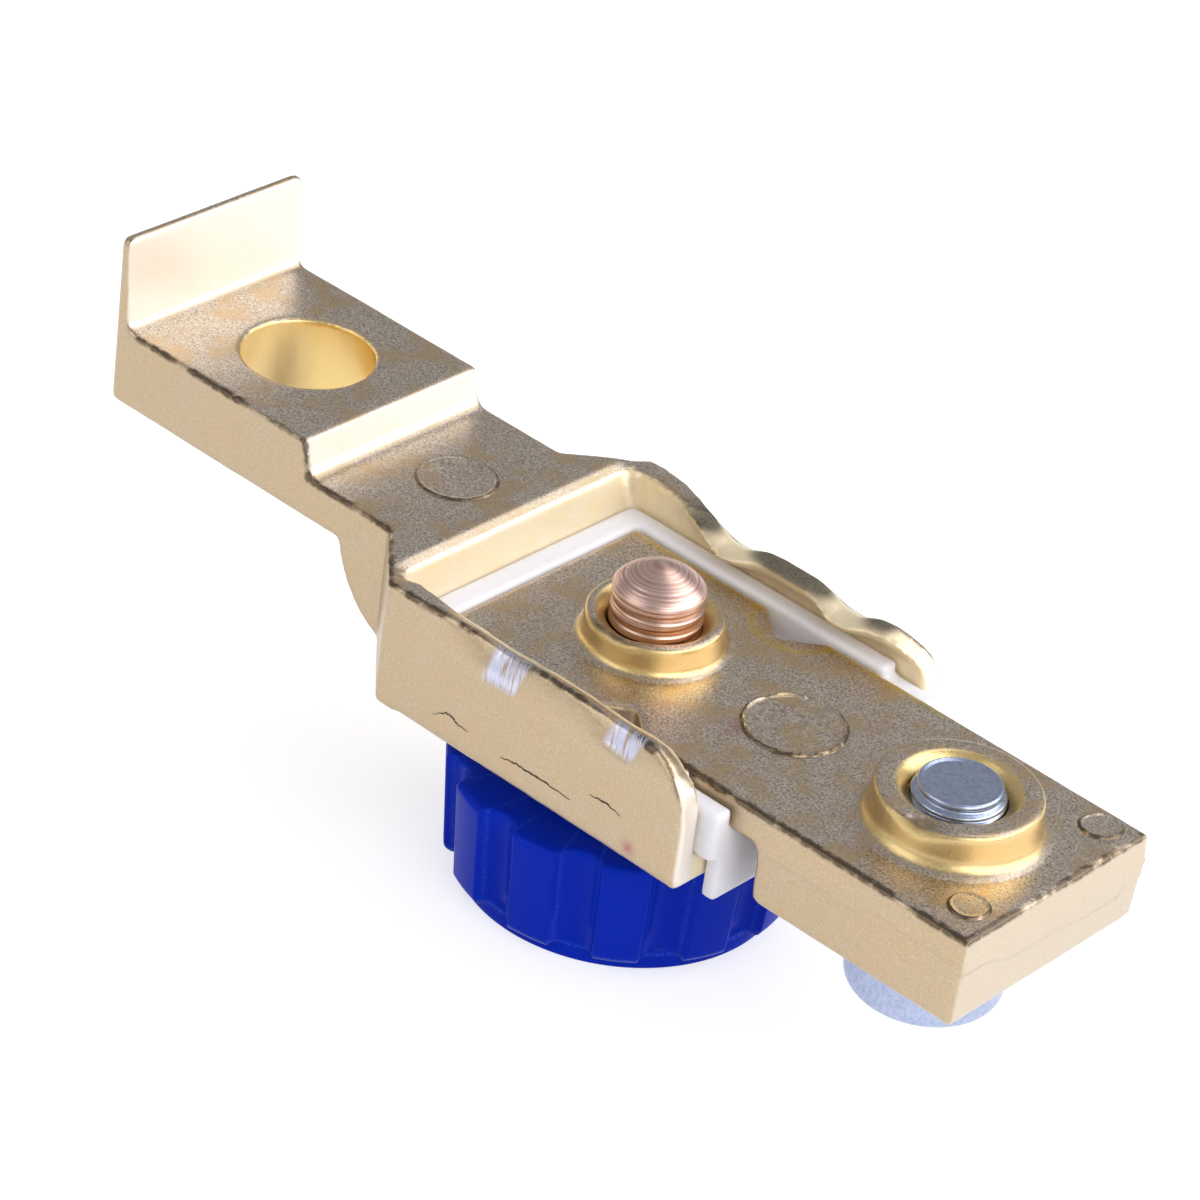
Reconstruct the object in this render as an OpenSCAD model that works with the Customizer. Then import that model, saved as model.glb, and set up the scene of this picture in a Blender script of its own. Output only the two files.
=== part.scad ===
// Battery disconnect switch of the screw-knob kind: two cast terminal bars kept apart by a nylon
// tray, joined by a copper screw that a fluted knob turns. Millimetres, +Z up, knob underneath.
// Lengths run from the outer face of the cable flange, heights from the top of the cable block.

/* [Cable block] */
// Width of the cable block and the neck
bar_w = 20.8; // [18:0.1:24]
// Length of the cable block, from the flange face to the step
block_len = 23.7; // [22:0.1:30]
// Thickness of the cable block
block_t = 7.25; // [5.5:0.05:9]
// Height of the flange above the block
flange_h = 8.7; // [4:0.1:14]
// Thickness of the flange where it meets the block
flange_t = 1.45; // [1.2:0.05:2.5]
// Thickness of the flange at its free edge
flange_tip_t = 1.0; // [0.8:0.05:1.2]
// Diameter of the cable hole
cable_hole_d = 11.7; // [8:0.1:13]
// Distance of the cable hole from the flange face
cable_hole_x = 13.4; // [11:0.1:14]

/* [Neck and tray] */
// Drop from the block's top to the neck
step_drop = 3.4; // [2:0.1:4.5]
// Length of the neck, from the step to the flare
neck_len = 10.5; // [9:0.1:16]
// Outer width of the tray
tray_w = 32.3; // [30:0.1:38]
// Length of the tray, from the end of the flare to the open end
tray_len = 33.55; // [32:0.05:40]
// Height of the tray over its floor and walls
tray_h = 11.9; // [10.4:0.1:14]
// Thickness of the tray's side walls
tray_wall = 2.2; // [1.8:0.1:2.6]
// Thickness of the tray's floor
tray_floor = 2.7; // [1.8:0.1:3.2]
// Radius of the nose under the neck
nose_r = 9.9; // [8:0.1:10.5]
// Radius of the upper corner at the open end of each wall
wall_end_r = 5.6; // [3:0.1:7]

/* [Staked wall edges] */
// Inward lean of the front wall's edge, between the stakes
front_lean = 0.8; // [0:0.1:1.4]
// Inward lean of the rear wall's edge, between the stakes
rear_lean = 2.1; // [0:0.1:2.4]
// Further inward dent at each stake of the front wall
front_dent = 0.5; // [0:0.1:0.8]
// Further inward dent at each stake of the rear wall
rear_dent = 1.0; // [0:0.1:1.1]
// Place of the first stake, from the start of the tray
stake_in = 12.4; // [11:0.1:14]
// Distance between the two stakes of a wall
stake_pitch = 12.7; // [11:0.1:13.5]

/* [Nylon tray] */
// Thickness of the nylon under the right bar
nylon_floor = 2.7; // [1.5:0.05:3]
// Thickness of the nylon end wall
nylon_end = 2.4; // [1.6:0.1:3]
// Height of the nylon walls above the right bar's plate
nylon_rise = 0.3; // [0.1:0.05:0.6]
// Thickness of the lip that hooks over the tray's open end
lip_t = 1.5; // [1:0.1:2]
// Depth of the lip below the tray
lip_drop = 1.5; // [0.5:0.1:2]
// Gap left around the nylon tray and around the right bar in it
seat_gap = 0.1; // [0.05:0.01:0.15]

/* [Right terminal bar] */
// Width of the right bar over its parting line
plate_w = 23.6; // [21:0.1:24.2]
// Thickness of the right bar's plate
plate_t = 2.7; // [2.2:0.05:3.2]
// Length of the thick end block
end_len = 21.1; // [19:0.1:26]
// Thickness of the end block
end_t = 8.6; // [7:0.1:10]
// Draft of the right bar's sides, from its top to the parting line
draft_top = 0.3; // [0:0.05:0.5]
// Draft of the end block's sides below the parting line
draft_low = 0.35; // [0:0.05:0.6]
// Gap between the nylon lip and the end block
lip_gap = 2.7; // [1.5:0.1:4]
// Depth of the notch in each side of the plate
notch_depth = 3.2; // [1:0.1:3.6]
// Length of each notch along the plate's edge
notch_len = 7.4; // [4:0.1:9]
// Distance of the notches from the contact screw
notch_x = 6.2; // [5.5:0.1:8]

/* [Screw bosses] */
// Height of the boss round the contact screw
screw_boss_h = 2.8; // [1.5:0.1:4]
// Height of the boss round the terminal bolt
bolt_boss_h = 3.5; // [2:0.1:4.5]
// Outer diameter of the contact screw's boss at its top
screw_boss_d = 11.9; // [11:0.1:13]
// Outer diameter of the terminal bolt's boss at its top
bolt_boss_d = 13.8; // [11.5:0.1:15]
// Diameter of the countersunk mouth of both bosses
mouth_d = 10.1; // [8.8:0.1:10.2]

/* [Contact screw and washer] */
// Outer diameter of the contact screw, an M8 thread
screw_d = 7.88; // [7.7:0.02:7.94]
// Radial running clearance of the screw in its bores
screw_clear = 0.06; // [0.03:0.01:0.1]
// Distance of the contact screw from the start of the tray
screw_in = 15.35; // [14.5:0.05:18]
// Height of the screw's cylindrical part above its boss
screw_proud = 2.75; // [1:0.05:5]
// Height of the blunt cone on the screw's end
cone_h = 1.9; // [0.8:0.1:2.5]
// Diameter of the screw's collar above the knob
collar_d = 15.0; // [12:0.1:18]
// Thickness of the collar
collar_t = 2.2; // [1.5:0.1:3]
// Diameter of the contact washer
washer_d = 19.6; // [16:0.1:22]
// Thickness of the contact washer
washer_t = 2.0; // [1.5:0.1:2.5]

/* [Knob] */
// Largest diameter of the knob, over its ridges
knob_d = 31.8; // [28:0.1:34]
// Height of the knob
knob_h = 11.25; // [9.5:0.05:14]
// Number of flutes round the knob
flutes = 12; // [8:1:14]
// Depth of each flute
flute_depth = 1.4; // [0.6:0.1:1.6]
// Radius of each flute
flute_r = 2.3; // [1.8:0.1:3]
// Diameter of the disc at the knob's foot
foot_d = 28.2; // [24:0.1:28.4]

/* [Terminal bolt] */
// Distance of the terminal bolt from the bar's free end
bolt_in = 11.1; // [9:0.1:12]
// Outer diameter of the bolt's thread, M8
bolt_d = 7.8; // [7.6:0.02:7.9]
// Length of the bolt under its head
bolt_len = 12.6; // [10:0.1:14]
// Diameter of the bolt's head
bolt_head_d = 13.2; // [12:0.1:14]
// Height of the bolt's head
bolt_head_h = 7.5; // [6:0.1:8.5]
// Width across flats of the bolt's hexagon socket
socket_af = 6; // [5:0.5:7]
// Depth of the bolt's hexagon socket
socket_depth = 4.5; // [3:0.1:5]

/* [Hidden] */
round_fn = 96;

// Small sizes: the nylon's place in the pocket, the run of the pocket's sloping end, the tube round
// the screw, the ejector discs and the nose's centre before the start of the tray
nylon_in = 0.45;
pocket_run = 1.4;
tube_gap = 0.45;
tube_wall = 1.6;
tube_play = 0.15;
disc_depth = 0.15;
nose_in = 1.7;
neck_disc_r = 3.4;
plate_disc_r = 4.25;

// Lengths worked out along the switch
flare_x = block_len + neck_len;
tray_x = flare_x + (tray_w - bar_w) / 2;
tray_end = tray_x + tray_len;
nylon_x = tray_x + nylon_in;
nylon_tail = tray_end + seat_gap + lip_t;
plate_x = nylon_x + nylon_end + seat_gap / 2;
end_x = nylon_tail + lip_gap;
total_len = end_x + end_len;
screw_x = tray_x + screw_in;
bolt_x = total_len - bolt_in;
stakes = [tray_x + stake_in, tray_x + stake_in + stake_pitch];

// Heights worked out down the switch
neck_z = -step_drop;
tray_z = neck_z - tray_h;
floor_z = tray_z + tray_floor;
plate_z = floor_z + nylon_floor;
plate_top = plate_z + plate_t;
nylon_top = plate_top + nylon_rise;
end_z = plate_top - end_t;
closed_gap = 0.05;
washer_z = tray_z - closed_gap - washer_t;
collar_z = washer_z - closed_gap - collar_t;
stand_h = knob_h - collar_z;

// Widths and radii
nylon_w = tray_w - 2 * tray_wall - 2 * seat_gap;
tube_d = screw_d + 2 * tube_gap;
floor_hole_d = tube_d + 2 * tube_wall;
bore_d = screw_d + 2 * screw_clear;
bolt_bore_d = bolt_d + 0.12;
knob_foot_r = foot_d / 2;
knob_draft = 0.85;
foot_h = 1.0;
bolt_edge_r = 1.3;

// The screw's hexagon head inside the knob: width across flats, thickness and cover of plastic
head_af = 13;
head_t = 5.5;
head_cover = 1.0;

// Points of an arc, by centre, radius and end angles
function arc(c, r, a0, a1, n) =
    [for (i = [0 : n]) c + r * [cos(a0 + (a1 - a0) * i / n), sin(a0 + (a1 - a0) * i / n)]];

// An outline whose corners [x, y, radius] are rounded by arcs of n chords
function rounded(p, n = 4) = [for (i = [0 : len(p) - 1])
    let (b = [p[i][0], p[i][1]], r = p[i][2],
        q = p[(i + len(p) - 1) % len(p)], s = p[(i + 1) % len(p)],
        u = [q[0], q[1]] - b, v = [s[0], s[1]] - b,
        un = u / norm(u), vn = v / norm(v),
        half = acos(un * vn) / 2, m = (un + vn) / norm(un + vn),
        c = b + m * r / sin(half),
        a = atan2(-m[1], -m[0]), w = (90 - half) * sign(un[0] * vn[1] - un[1] * vn[0]))
    each (r == 0 ? [b] : arc(c, r, a + w, a - w, n))];

// Smooth step from 0 to 1, and a bell of height 1
function ease(t) = let (c = min(1, max(0, t))) c * c * (3 - 2 * c);
function bell(t) = exp(-t * t);

// The part stands on its knob, centred on the origin
module place() {
    translate([-total_len / 2, 0, stand_h]) children();
}

// A plate made by carrying an x-z outline across the switch
module across(points, w) {
    translate([0, w / 2, 0]) rotate([90, 0, 0]) linear_extrude(w) polygon(points);
}

// Outline of the left bar from the side: block, step, neck and the nose under it
module left_profile() {
    nose = [tray_x - nose_in, tray_z + nose_r];
    kink = asin((nose[1] + block_t) / nose_r);
    across(concat(
        rounded([[0, -block_t, 0.9], [0, 0, 0], [block_len, 0, 0.35],
            [block_len + 0.9, neck_z, 1.3], [tray_x + 2, neck_z, 0], [tray_x + 2, tray_z, 0]]),
        arc(nose, nose_r, 270, 180 + kink, 10)), tray_w);
}

// Outline of the left bar from above: block, neck, flare and the first of the tray
module left_plan() {
    hw = bar_w / 2;
    ht = tray_w / 2;
    translate([0, 0, tray_z - 1]) linear_extrude(flange_h - tray_z + 2)
        polygon(rounded([[0, -hw, 0.5], [flare_x, -hw, 0.8], [tray_x, -ht, 0.8],
            [tray_x + 2, -ht, 0], [tray_x + 2, ht, 0], [tray_x, ht, 0.8],
            [flare_x, hw, 0.8], [0, hw, 0.5]]));
}

// The upright flange: a tapered plate with rounded upper corners and a fillet at its foot
module flange() {
    intersection() {
        across(concat([[0, -1], [0, flange_h], [flange_tip_t, flange_h]],
            arc([flange_t + 1.0, 1.0], 1.0, 178, 262, 5), [[flange_t + 1.0, -1]]), bar_w);
        translate([-1, 0, 0]) rotate([90, 0, 90]) linear_extrude(flange_t + 3)
            polygon(rounded([[-bar_w / 2, -1, 0], [bar_w / 2, -1, 0],
                [bar_w / 2, flange_h, 0.8], [-bar_w / 2, flange_h, 0.8]]));
        left_plan();
    }
}

// Top height of a tray wall along its length, with the round upper corner at the open end
function edge_z(lean) = neck_z - 0.08 * lean * lean;
function wall_top(x, lean) = let (t = min(wall_end_r, max(0, x - (tray_end - wall_end_r))))
    edge_z(lean) - wall_end_r + sqrt(wall_end_r * wall_end_r - t * t);

// Inward lean of a wall's edge along its length
function wall_lean(x, mid, dent) =
    mid * ease((x - tray_x - 2.5) / 8)
    + dent * (bell((x - stakes[0]) / 2.4) + bell((x - stakes[1]) / 2.4));

// Cross-section of a tray wall at x, as [x, y, z] points from the outer foot round to the inner
function wall_section(x, mid, dent) = let (
    lean = wall_lean(x, mid, dent), top = wall_top(x, lean),
    bend = nylon_top + 0.1, low = min(bend, top - 0.8), yo = tray_w / 2, yi = yo - tray_wall,
    at = function (y, s) let (z = low + s * (top - low),
        t = max(0, (z - bend) / (edge_z(lean) - bend))) [x, y - lean * pow(t, 1.5), z])
    concat([[x, yi, tray_z], [x, yo - 0.9, tray_z], [x, yo - 0.26, tray_z + 0.26],
            [x, yo, tray_z + 0.9]],
        [for (s = [0, 0.3, 0.6]) at(yo, s)], [at(yo, 0.9), at(yo - 0.35, 1)],
        [at(yi + 0.35, 1), at(yi, 0.9)], [for (s = [0.6, 0.3, 0]) at(yi, s)]);

// A solid skinned over wall sections; the end faces are given as triangles between the outer and
// the inner line of a section, because a section is not convex
module wall_skin(sections) {
    n = len(sections[0]);
    m = len(sections);
    cap = [[0, 1, 2], [0, 2, 3], [0, 3, 4], [0, 4, 13], [13, 4, 5], [13, 5, 12], [12, 5, 6],
        [12, 6, 11], [11, 6, 7], [11, 7, 10], [10, 7, 8], [10, 8, 9]];
    last = (m - 1) * n;
    polyhedron([for (s = sections) each s], concat(cap,
        [for (k = [0 : m - 2]) for (i = [0 : n - 1]) let (j = (i + 1) % n, a = k * n, b = a + n)
            each [[a + i, b + i, b + j], [a + i, b + j, a + j]]],
        [for (t = cap) [last + t[2], last + t[1], last + t[0]]]));
}

// One side wall of the tray; side is 1 for the rear wall and -1 for the front one
module tray_side(side, mid, dent) {
    x0 = tray_x + 1;
    x1 = tray_end - wall_end_r;
    run = [for (i = [0 : 15]) x0 + (x1 - x0) * i / 15];
    tip = [for (a = [15 : 15 : 90]) x1 + wall_end_r * sin(a)];
    mirror([0, side < 0 ? 1 : 0, 0])
        wall_skin([for (x = concat(run, tip)) wall_section(x, mid, dent)]);
}

// The left bar, cast in one piece
module left_terminal_bar() {
    color("#c8b079") place() difference() {
        union() {
            intersection() {
                left_profile();
                left_plan();
            }
            flange();
            translate([tray_x, -tray_w / 2 + 1, tray_z]) cube([tray_len, tray_w - 2, tray_floor]);
            tray_side(-1, front_lean, front_dent);
            tray_side(1, rear_lean, rear_dent);
        }
        // the pocket's sloping end wall
        across([[nylon_x - pocket_run, neck_z + 1], [nylon_x - pocket_run, neck_z],
            [nylon_x - seat_gap, plate_top],
            [nylon_x - seat_gap, floor_z], [tray_x + 3, floor_z], [tray_x + 3, neck_z + 1]],
            tray_w - 2 * tray_wall);
        translate([cable_hole_x, 0, -block_t - 1]) cylinder(d = cable_hole_d, h = block_t + 2, $fn = round_fn);
        translate([screw_x, 0, tray_z - 1]) cylinder(d = floor_hole_d, h = tray_floor + 2, $fn = round_fn);
        translate([flare_x - 2.2, 0, neck_z - disc_depth]) cylinder(r = neck_disc_r, h = 1, $fn = round_fn);
    }
}

// A boss turned about its screw: a barrel with a rounded rim, a fillet at its foot and a
// countersunk mouth. The foot sinks a little into the plate.
module boss(d, h, foot) {
    r = d / 2;
    rotate_extrude($fn = round_fn) polygon(concat(
        [[bore_d / 2 - 0.5, -0.4], [r + foot + 0.25, -0.4]],
        arc([r + foot, foot], foot, 262, 185, 6),
        arc([r - 0.45, h - 0.45], 0.45, 0, 90, 4),
        [[bore_d / 2 - 0.5, h]]));
}

// The countersunk bore through a boss, from below the plate to above the boss
module boss_bore(d, h, depth) {
    mouth = (mouth_d - d) / 2;
    translate([0, 0, -depth - 1]) cylinder(d = d, h = depth + h + 2, $fn = round_fn);
    rotate_extrude($fn = round_fn) polygon([[d / 2 - 1, h - mouth - 1], [mouth_d / 2, h],
        [mouth_d / 2, h + 1], [d / 2 - 1, h + 1]]);
}

// The right bar, cast in one piece: a notched plate that ends in a thick block. Its sides and its
// end lean out from the top to the parting line at the plate's lower face, and in again below it
module right_terminal_bar() {
    hw = plate_w / 2;
    nx = screw_x + notch_x;
    notch = [[nx + notch_len / 2, 0, 0.4], [nx, notch_depth, 0.7], [nx - notch_len / 2, 0, 0.4]];
    color("#b6a37c") place() difference() {
        union() {
            intersection() {
                across(rounded([[plate_x, plate_z, 0], [plate_x, plate_top, 0.2],
                    [total_len - draft_top, plate_top, 0.2], [total_len, plate_z, 0],
                    [total_len - draft_low, end_z, 0.9], [end_x, end_z, 1.2], [end_x, plate_z, 0.8]]), plate_w);
                translate([0, 0, end_z - 1]) linear_extrude(end_t + 2)
                    polygon(rounded(concat([[plate_x, hw, 0.5], [plate_x, -hw, 0.5]],
                        [for (i = [2 : -1 : 0]) [notch[i][0], notch[i][1] - hw, notch[i][2]]],
                        [[total_len, -hw, 0.6], [total_len, hw, 0.6]],
                        [for (i = [0 : 2]) [notch[i][0], hw - notch[i][1], notch[i][2]]])));
                translate([plate_x - 1, 0, 0]) rotate([90, 0, 90]) linear_extrude(total_len)
                    polygon(rounded([[draft_low - hw, end_z, 0.9], [hw - draft_low, end_z, 0.9], [hw, plate_z, 0],
                        [hw - draft_top, plate_top, 0.2], [draft_top - hw, plate_top, 0.2], [-hw, plate_z, 0]]));
            }
            translate([screw_x, 0, plate_top]) boss(screw_boss_d, screw_boss_h, 0.9);
            translate([bolt_x, 0, plate_top]) boss(bolt_boss_d, bolt_boss_h, 1.4);
        }
        translate([screw_x, 0, plate_top]) boss_bore(bore_d, screw_boss_h, plate_t);
        translate([bolt_x, 0, plate_top]) boss_bore(bolt_bore_d, bolt_boss_h, end_t);
        translate([(screw_x + bolt_x) / 2 - 0.5, 0, plate_top - disc_depth])
            cylinder(r = plate_disc_r, h = 1, $fn = round_fn);
    }
}

// The nylon tray between the bars, with a tube through the floor hole and a lip at the open end
module insulator_tray() {
    hw = nylon_w / 2;
    inner = plate_w + 2 * seat_gap;
    low_end = tray_end - 3;
    color("#eceaf2") place() difference() {
        union() {
            translate([0, 0, floor_z]) linear_extrude(nylon_top - floor_z)
                polygon(rounded([[nylon_x, -hw, 0.6], [nylon_tail, -hw, 0.6],
                    [nylon_tail, hw, 0.6], [nylon_x, hw, 0.6]]));
            // the lip, a little narrower than the tray's pocket
            translate([tray_end + seat_gap, 0, tray_z - lip_drop])
                linear_extrude(floor_z - tray_z + lip_drop + 1)
                polygon(rounded([[0, 1.2 - hw, 0.4], [lip_t, 1.2 - hw, 0.4],
                    [lip_t, hw - 1.2, 0.4], [0, hw - 1.2, 0.4]]));
            translate([screw_x, 0, tray_z + 0.4]) cylinder(d = floor_hole_d - 2 * tube_play, h = tray_floor, $fn = round_fn);
        }
        translate([nylon_x + nylon_end, -inner / 2, plate_z]) cube([tray_len + 9, inner, plate_t + nylon_rise + 1]);
        translate([low_end, -hw - 1, plate_top - 0.85]) cube([tray_len, 2 * hw + 2, 5]);
        translate([screw_x, 0, tray_z - 1]) cylinder(d = tube_d, h = tray_h, $fn = round_fn);
    }
}

// The loose copper washer that the collar presses against the tray's floor
module contact_washer() {
    color("#c98a5e") place() translate([screw_x, 0, washer_z]) rotate_extrude($fn = round_fn)
        polygon([[bore_d / 2, 0], [washer_d / 2 - 0.3, 0], [washer_d / 2, 0.3], [washer_d / 2, washer_t - 0.3],
            [washer_d / 2 - 0.3, washer_t], [bore_d / 2, washer_t]]);
}

// The copper screw: blunt cone, shank, collar and the hexagon head that the knob is moulded round
module contact_screw() {
    r = screw_d / 2;
    tip = plate_top + screw_boss_h + screw_proud;
    color("#cf9475") place() translate([screw_x, 0, 0]) {
        rotate_extrude($fn = round_fn) polygon(concat(
            [[0, collar_z - head_cover - 0.5], [0, tip + cone_h], [0.7, tip + cone_h - 0.12], [r - 0.4, tip + 0.2]],
            arc([r - 0.4, tip - 0.2], 0.4, 70, 0, 3),
            [[r, collar_z + collar_t], [collar_d / 2 - 0.25, collar_z + collar_t],
                [collar_d / 2, collar_z + collar_t - 0.25], [collar_d / 2, collar_z], [r, collar_z],
                [r, collar_z - head_cover - 0.5]]));
        translate([0, 0, collar_z - head_cover - head_t])
            cylinder(d = head_af / cos(30), h = head_t, $fn = 6);
    }
}

// The fluted knob, moulded round the screw's head
module knob() {
    r = knob_d / 2;
    color("#1433b8") place() translate([screw_x, 0, collar_z - knob_h]) difference() {
        rotate_extrude($fn = round_fn) polygon(concat(
            [[0, 0.5], [knob_foot_r - 3.2, 0.5], [knob_foot_r - 2.7, 0], [knob_foot_r - 0.3, 0],
                [knob_foot_r, 0.3], [knob_foot_r, foot_h]],
            arc([r - knob_draft - 0.9, foot_h + 0.9], 0.9, 275, 358, 5),
            arc([r - 0.5, knob_h - 0.5], 0.5, 5, 90, 4),
            [[0, knob_h]]));
        for (i = [0 : flutes - 1])
            rotate([0, 0, (i + 0.87) * 360 / flutes])
                translate([r - flute_depth + flute_r, 0, foot_h])
                rotate([0, atan(knob_draft / knob_h), 0]) translate([-knob_draft, 0, 0])
                cylinder(r = flute_r, h = knob_h + 2, $fn = round_fn);
        translate([0, 0, knob_h - head_cover - head_t])
            cylinder(d = head_af / cos(30), h = head_t, $fn = 6);
        translate([0, 0, knob_h - head_cover - 0.5]) cylinder(d = screw_d, h = 3, $fn = round_fn);
    }
}

// The terminal bolt, an M8 socket-head screw with its head under the end block
module terminal_bolt() {
    r = bolt_d / 2;
    rh = bolt_head_d / 2;
    edge = bolt_edge_r;
    color("#9aa6c4") place() translate([bolt_x, 0, end_z]) difference() {
        rotate_extrude($fn = round_fn) polygon(concat(
            [[0, -bolt_head_h]], arc([rh - edge, edge - bolt_head_h], edge, 270, 360, 5),
            [[rh, -0.3], [rh - 0.3, 0], [r, 0], [r, bolt_len - 0.9]],
            arc([r - 0.75, bolt_len - 0.75], 0.75, 20, 80, 3), [[0, bolt_len]]));
        translate([0, 0, -bolt_head_h - 1]) cylinder(d = socket_af / cos(30), h = socket_depth + 1, $fn = 6);
    }
}

left_terminal_bar();
right_terminal_bar();
insulator_tray();
contact_washer();
contact_screw();
knob();
terminal_bolt();
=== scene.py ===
from math import cos, pi, radians, sin

import bpy
import bmesh
import numpy as np
from mathutils import Matrix, Vector


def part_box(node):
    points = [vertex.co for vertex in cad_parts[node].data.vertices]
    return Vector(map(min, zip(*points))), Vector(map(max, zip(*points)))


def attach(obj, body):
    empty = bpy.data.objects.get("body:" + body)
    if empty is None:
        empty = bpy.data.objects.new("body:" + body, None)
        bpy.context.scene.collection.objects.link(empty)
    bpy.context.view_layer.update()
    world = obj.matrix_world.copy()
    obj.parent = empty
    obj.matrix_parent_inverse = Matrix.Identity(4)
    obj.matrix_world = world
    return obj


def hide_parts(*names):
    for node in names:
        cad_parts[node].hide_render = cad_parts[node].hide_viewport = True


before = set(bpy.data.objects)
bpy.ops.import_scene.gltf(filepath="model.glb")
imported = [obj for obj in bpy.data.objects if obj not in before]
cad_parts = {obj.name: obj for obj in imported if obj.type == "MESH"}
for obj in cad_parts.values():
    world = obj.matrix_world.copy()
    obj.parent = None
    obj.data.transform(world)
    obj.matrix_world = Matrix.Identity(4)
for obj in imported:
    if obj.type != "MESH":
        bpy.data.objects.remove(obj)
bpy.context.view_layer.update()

mm = 0.001
# the source counts x from the flange's outer face and z from the top of the cable block
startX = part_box("left_terminal_bar")[0].x / mm
flangeHeight = 8.7
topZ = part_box("left_terminal_bar")[1].z / mm - flangeHeight


def toRow(points):
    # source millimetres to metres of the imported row
    return (np.asarray(points, float) + np.array([startX, 0.0, topZ])) * mm


def toSource(points):
    return np.asarray(points, float) / mm - np.array([startX, 0.0, topZ])


def sourceBox(node):
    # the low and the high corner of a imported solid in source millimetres
    return toSource([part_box(node)[0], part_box(node)[1]])


screwBox, boltBox, washerBox, knobBox = (sourceBox(node) for node in (
    "contact_screw", "terminal_bolt", "contact_washer", "knob"))
rightBox = sourceBox("right_terminal_bar")
screwX = screwBox[:, 0].mean()
boltX = boltBox[:, 0].mean()


def smooth(t):
    # 0 below 0, 1 above 1, and 3t^2 - 2t^3 between
    c = np.clip(t, 0, 1)
    return c * c * (3 - 2 * c)


def valueNoise(points, cell, seed):
    # random values on a cubic lattice of the given cell, blended smoothly between its corners, -1 to 1
    table = np.random.default_rng(seed).uniform(-1, 1, (32, 32, 32))
    p = np.asarray(points, float) / cell + 7.3
    base = np.floor(p).astype(int)
    t = smooth(p - base)
    total = np.zeros(len(p))
    for corner in range(8):
        step = np.array([corner & 1, corner >> 1 & 1, corner >> 2 & 1])
        weight = np.prod(np.where(step == 1, t, 1 - t), axis=1)
        i = (base + step) % 32
        total += weight * table[i[:, 0], i[:, 1], i[:, 2]]
    return total


def gridPiece(name, grid, closedU=True, poleStart=False, poleEnd=False):
    # a grid of points [v, u, xyz] in source mm becomes a mesh of quads; u goes round, poles close the ends
    rows, cols = grid.shape[:2]
    points = grid.reshape(-1, 3)
    nextCol = (np.arange(cols) + 1) % cols
    span = cols if closedU else cols - 1
    a = (np.arange(rows - 1)[:, None] * cols + np.arange(span)[None, :]).ravel()
    b = (np.arange(rows - 1)[:, None] * cols + nextCol[None, :span]).ravel()
    faces = np.stack([a, b, b + cols, a + cols], -1).tolist()
    if poleStart:
        points = np.vstack([points, grid[0].mean(0)])
        k = len(points) - 1
        faces += [[k, int(nextCol[i]), i] for i in range(cols)]
    if poleEnd:
        points = np.vstack([points, grid[-1].mean(0)])
        k = len(points) - 1
        last = (rows - 1) * cols
        faces += [[k, last + i, last + int(nextCol[i])] for i in range(cols)]
    mesh = bpy.data.meshes.new(name)
    mesh.from_pydata(toRow(points).tolist(), [], faces)
    mesh.update()
    return finishPiece(name, mesh)


def finishPiece(name, mesh):
    mesh.polygons.foreach_set("use_smooth", np.ones(len(mesh.polygons), bool))
    piece = bpy.data.objects.new(name, mesh)
    bpy.context.scene.collection.objects.link(piece)
    return piece


def vertexArray(mesh, what="co"):
    values = np.empty(len(mesh.vertices) * 3)
    mesh.vertices.foreach_get(what, values)
    return values.reshape(-1, 3)


def neighbourMean(points, edges):
    # each point's neighbours, averaged
    total = np.zeros_like(points)
    count = np.bincount(edges.ravel(), minlength=len(points)).astype(float)
    for axis in range(3):
        total[:, axis] = (np.bincount(edges[:, 0], points[edges[:, 1], axis], len(points))
                          + np.bincount(edges[:, 1], points[edges[:, 0], axis], len(points)))
    return total / np.maximum(count, 1)[:, None]


def relaxed(points, edges, rounds, back=0.0):
    # each round moves the points half way to their neighbours' mean, then back by its share
    for i in range(rounds):
        points = points + 0.5 * (neighbourMean(points, edges) - points)
        if back:
            points = points - back * (neighbourMean(points, edges) - points)
    return points


def newSkin(node, name, voxel, rounds):
    # the solid's points are merged, an even voxel skin is laid over it and its edges are relaxed
    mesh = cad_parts[node].data.copy()
    work = bmesh.new()
    work.from_mesh(mesh)
    bmesh.ops.remove_doubles(work, verts=work.verts, dist=1e-6)
    work.to_mesh(mesh)
    work.free()
    piece = bpy.data.objects.new(name, mesh)
    bpy.context.scene.collection.objects.link(piece)
    skin = piece.modifiers.new("skin", "REMESH")
    skin.mode = "VOXEL"
    skin.voxel_size = voxel * mm
    depsgraph = bpy.context.evaluated_depsgraph_get()
    skinned = bpy.data.meshes.new_from_object(piece.evaluated_get(depsgraph))
    skinned.name = name
    piece.modifiers.clear()
    piece.data = skinned
    bpy.data.meshes.remove(mesh)
    piece.data.materials.clear()
    edges = np.empty(len(skinned.edges) * 2, int)
    skinned.edges.foreach_get("vertices", edges)
    edges = edges.reshape(-1, 2)
    points = relaxed(toSource(vertexArray(skinned)), edges, rounds, 0.40)
    setPoints(piece, points)
    skinned.polygons.foreach_set("use_smooth", np.ones(len(skinned.polygons), bool))
    return piece, points, edges


def setPoints(piece, points):
    piece.data.vertices.foreach_set("co", toRow(points).ravel())
    piece.data.update()


def setAttribute(piece, name, values):
    attribute = piece.data.attributes.new(name, "FLOAT", "POINT")
    attribute.data.foreach_set("value", np.clip(values, 0, 1).astype(np.float32))


def lineDistance(points, line):
    # shortest distance of each point from a chain of straight stretches
    best = np.full(len(points), 1e9)
    line = np.asarray(line, float)
    for a, b in zip(line[:-1], line[1:]):
        d = b - a
        t = np.clip((points - a) @ d / (d @ d), 0, 1)
        best = np.minimum(best, np.linalg.norm(points - a - t[:, None] * d, axis=1))
    return best


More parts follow.
